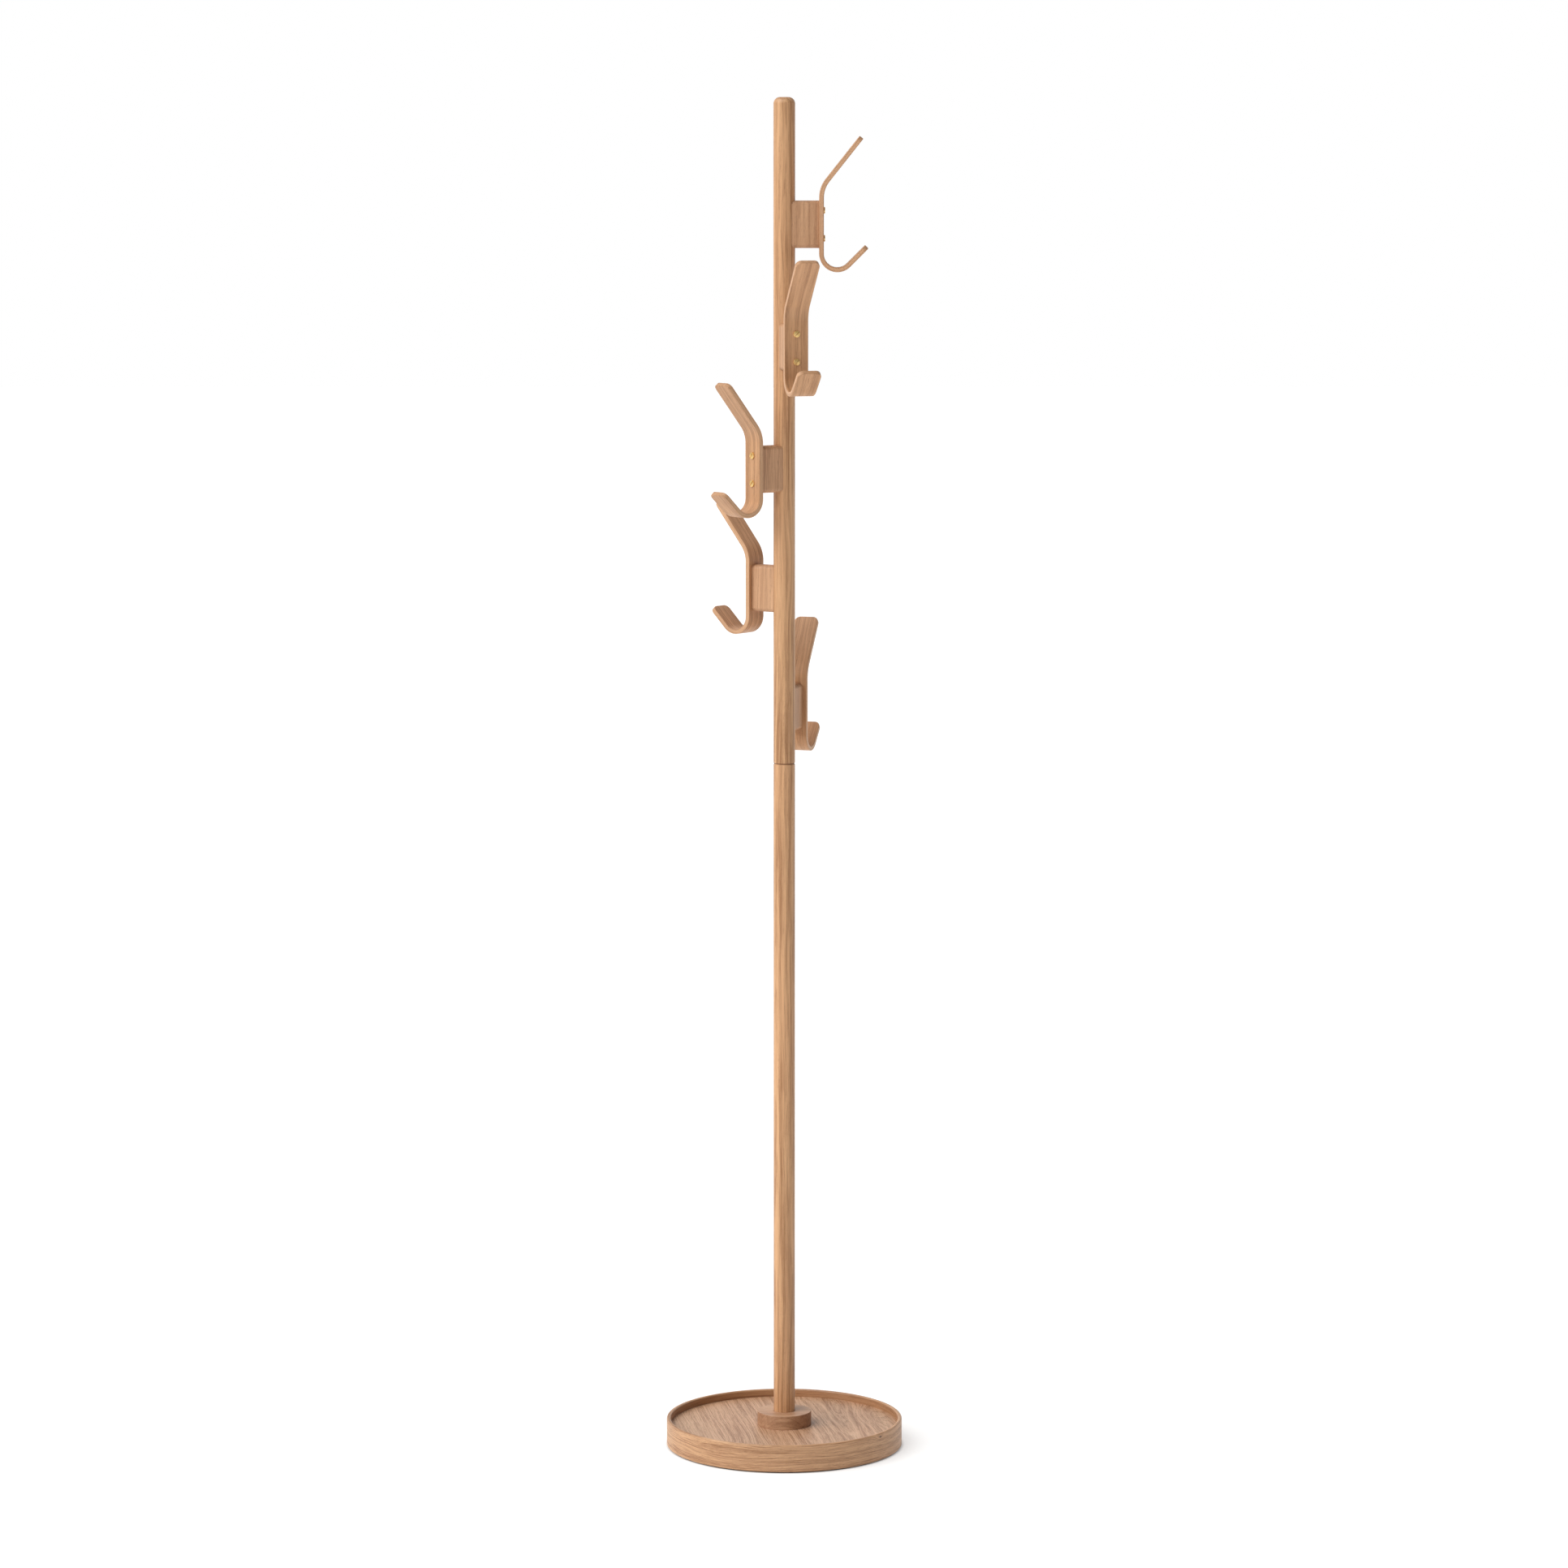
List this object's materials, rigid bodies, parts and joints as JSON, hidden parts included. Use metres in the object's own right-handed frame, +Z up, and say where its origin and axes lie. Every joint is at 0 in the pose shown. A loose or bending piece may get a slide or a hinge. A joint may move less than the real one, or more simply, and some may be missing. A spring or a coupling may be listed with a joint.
{
  "type": "standing coat rack",
  "caption": "Free-standing oak coat rack: round pole with bent laminated hooks in a falling spiral, standing in a collar on a round tray base.",
  "frame": {"origin": "middle of the base, on the surface that the rack stands on", "axes": "+Z up the pole; +X the way the highest hook points; each hook below it is turned 72 degrees clockwise seen from above"},
  "size_m": [0.312, 0.312, 1.775],
  "materials": {
    "oak_laminated": "satin clear lacquer",
    "oak_block": "satin clear lacquer",
    "oak_pole": "satin clear lacquer",
    "oak_band": "satin clear lacquer",
    "oak_veneer": "satin clear lacquer",
    "oak_collar": "satin clear lacquer",
    "brass_screw": "polished",
    "brass_insert": "machined",
    "zinc_plated_steel": "zinc plated",
    "ballast_steel": "rolled, oiled",
    "fibreboard": "plain",
    "felt": "matt"
  },
  "bodies": {
    "root": {"hook_1": "oak_laminated", "spacer_block_1": "oak_block", "hook_screws_1": "brass_screw", "hook_2": "oak_laminated", "spacer_block_2": "oak_block", "hook_screws_2": "brass_screw", "hook_3": "oak_laminated", "spacer_block_3": "oak_block", "hook_screws_3": "brass_screw", "hook_4": "oak_laminated", "spacer_block_4": "oak_block", "hook_screws_4": "brass_screw", "hook_5": "oak_laminated", "spacer_block_5": "oak_block", "hook_screws_5": "brass_screw", "pole_upper": "oak_pole", "pole_lower": "oak_pole", "pole_stud": "zinc_plated_steel", "upper_insert": "brass_insert", "lower_insert": "brass_insert", "base_insert": "brass_insert", "base_washer": "zinc_plated_steel", "base_bolt": "zinc_plated_steel", "tray_rim": "oak_band", "tray_floor": "oak_veneer", "collar": "oak_collar", "ballast_plate": "ballast_steel", "bottom_cover": "fibreboard", "collar_screws": "zinc_plated_steel", "cover_screws": "zinc_plated_steel", "foot_pads": "felt"}
  },
  "joints": []
}
